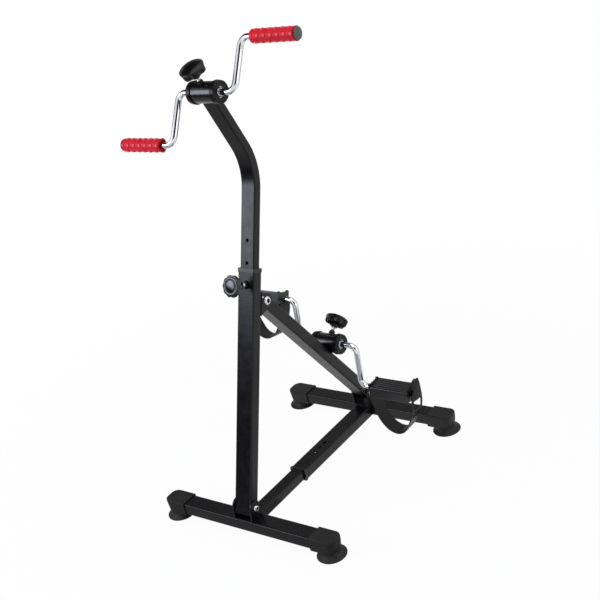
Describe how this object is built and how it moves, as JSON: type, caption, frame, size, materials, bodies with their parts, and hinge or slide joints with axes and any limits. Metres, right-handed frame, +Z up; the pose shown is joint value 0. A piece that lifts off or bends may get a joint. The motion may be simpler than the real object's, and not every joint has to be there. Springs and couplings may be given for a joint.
{
  "type": "arm and leg pedal exerciser",
  "caption": "A-frame exerciser of black rectangular tube: a chrome pedal crank with foot straps, and a height-adjustable mast with a hand crank and red knobbly grips.",
  "frame": {"origin": "On the floor, midway between the front and rear feet and between their left and right pads.", "axes": "+Z up, +Y from the front foot under the post towards the rear foot under the pedals, +X to the right along the crank axles."},
  "size_m": [0.4936, 0.545, 1.0318],
  "materials": {
    "black_steel": "black powder coat with a fine grain",
    "black_rubber": "moulded matt rubber",
    "black_plastic": "moulded satin plastic",
    "chrome": "bright chrome plate",
    "zinc": "bright zinc plate",
    "red_plastic": "moulded soft plastic, semi-gloss",
    "grey_plastic": "moulded satin plastic",
    "strap_rubber": "smooth flexible rubber"
  },
  "bodies": {
    "front_base": {"front_foot_tube": "black_steel", "front_foot_cap_right": "black_rubber", "front_foot_cap_left": "black_rubber", "front_bracket": "black_steel", "front_pivot_bolt": "zinc", "front_pivot_nut": "zinc", "strut_inner_tube": "black_steel", "strut_button_spring": "zinc"},
    "button": {"strut_button": "zinc"},
    "rear_base": {"rear_foot_tube": "black_steel", "rear_foot_cap_right": "black_rubber", "rear_foot_cap_left": "black_rubber", "rear_bracket": "black_steel", "rear_pivot_bolt": "zinc", "rear_pivot_nut": "zinc", "strut_outer_tube": "black_steel", "strut_collar": "black_plastic"},
    "post": {"post_tube": "black_steel", "post_collar": "black_plastic", "hinge_bracket": "black_steel", "hinge_bolt": "zinc", "hinge_nut": "zinc", "post_knob_boss": "black_steel"},
    "post_clamp": {"post_knob": "black_plastic", "post_knob_screw": "zinc"},
    "mast": {"mast_tube": "black_steel", "mast_plug": "black_plastic", "arm_hub_shell": "black_steel", "arm_hub_cap_right": "black_plastic", "arm_hub_cap_left": "black_plastic", "arm_bearing_right": "zinc", "arm_bearing_left": "zinc", "arm_brake_shoe": "black_plastic", "arm_lock_nut": "black_steel"},
    "arm_tension": {"arm_tension_knob": "black_plastic", "arm_tension_screw": "zinc"},
    "arm_crank_unit": {"arm_crank": "chrome", "arm_grip_plug_right": "grey_plastic", "arm_grip_plug_left": "grey_plastic"},
    "right_grip": {"arm_grip_right": "red_plastic"},
    "left_grip": {"arm_grip_left": "red_plastic"},
    "incline": {"incline_tube": "black_steel", "leg_hub_shell": "black_steel", "leg_hub_cap_right": "black_plastic", "leg_hub_cap_left": "black_plastic", "leg_bearing_right": "zinc", "leg_bearing_left": "zinc", "leg_brake_shoe": "black_plastic", "leg_lock_nut": "black_steel"},
    "leg_tension": {"leg_tension_knob": "black_plastic", "leg_tension_screw": "zinc"},
    "leg_crank_unit": {"leg_crank": "chrome", "pedal_nut_right": "black_plastic", "pedal_nut_left": "black_plastic"},
    "right_pedal": {"pedal_right": "black_plastic", "strap_right": "strap_rubber"},
    "left_pedal": {"pedal_left": "black_plastic", "strap_left": "strap_rubber"}
  },
  "joints": [
    {"name": "post_pivot", "type": "hinge", "parent": "front_base", "child": "post", "pos_m": [0, -0.23775, 0.0695], "axis": [1, 0, 0], "range_deg": [0, 3.2]},
    {"name": "strut_slide", "type": "slide", "parent": "front_base", "child": "rear_base", "axis": [0, 1, 0], "range_m": [-0.039, 0]},
    {"name": "incline_hinge", "type": "hinge", "parent": "post", "child": "incline", "pos_m": [0, -0.03763, 0.46855], "axis": [1, 0, 0], "range_deg": [-5.6, 0]},
    {"name": "button_press", "type": "slide", "parent": "front_base", "child": "button", "axis": [0, 0, 1], "range_m": [-0.003, 0], "stiffness_N_per_m": 1500},
    {"name": "mast_slide", "type": "slide", "parent": "post", "child": "mast", "axis": [0, 0.3901, 0.9208], "range_m": [-0.095, 0.0475]},
    {"name": "post_knob_turn", "type": "hinge", "parent": "post", "child": "post_clamp", "pos_m": [0, -0.10813, 0.53567], "axis": [0, -0.9208, 0.3901], "range_deg": [0, 720]},
    {"name": "arm_knob_turn", "type": "hinge", "parent": "mast", "child": "arm_tension", "pos_m": [0, -0.02564, 0.92546], "axis": [0, -0.3753, 0.9269], "range_deg": [-180, 540]},
    {"name": "arm_crank_turn", "type": "hinge", "parent": "mast", "child": "arm_crank_unit", "pos_m": [0, -0.02564, 0.92546], "axis": [1, 0, 0], "continuous": true},
    {"name": "right_grip_turn", "type": "hinge", "parent": "arm_crank_unit", "child": "right_grip", "pos_m": [0.1575, 0.03111, 1.01558], "axis": [1, 0, 0], "continuous": true},
    {"name": "left_grip_turn", "type": "hinge", "parent": "arm_crank_unit", "child": "left_grip", "pos_m": [-0.1575, -0.08239, 0.83534], "axis": [1, 0, 0], "continuous": true},
    {"name": "leg_knob_turn", "type": "hinge", "parent": "incline", "child": "leg_tension", "pos_m": [0, 0.14687, 0.25924], "axis": [0, 0.8258, 0.564], "range_deg": [-180, 540]},
    {"name": "leg_crank_turn", "type": "hinge", "parent": "incline", "child": "leg_crank_unit", "pos_m": [0, 0.14687, 0.25924], "axis": [1, 0, 0], "continuous": true},
    {"name": "right_pedal_turn", "type": "hinge", "parent": "leg_crank_unit", "child": "right_pedal", "pos_m": [0.165, 0.13504, 0.16296], "axis": [1, 0, 0], "continuous": true},
    {"name": "left_pedal_turn", "type": "hinge", "parent": "leg_crank_unit", "child": "left_pedal", "pos_m": [-0.165, 0.15869, 0.35552], "axis": [1, 0, 0], "continuous": true}
  ],
  "couplings": [
    {"joint": "strut_slide", "follows": "post_pivot", "m_per_rad": -0.69333},
    {"joint": "incline_hinge", "follows": "post_pivot", "ratio": -1.7385}
  ]
}
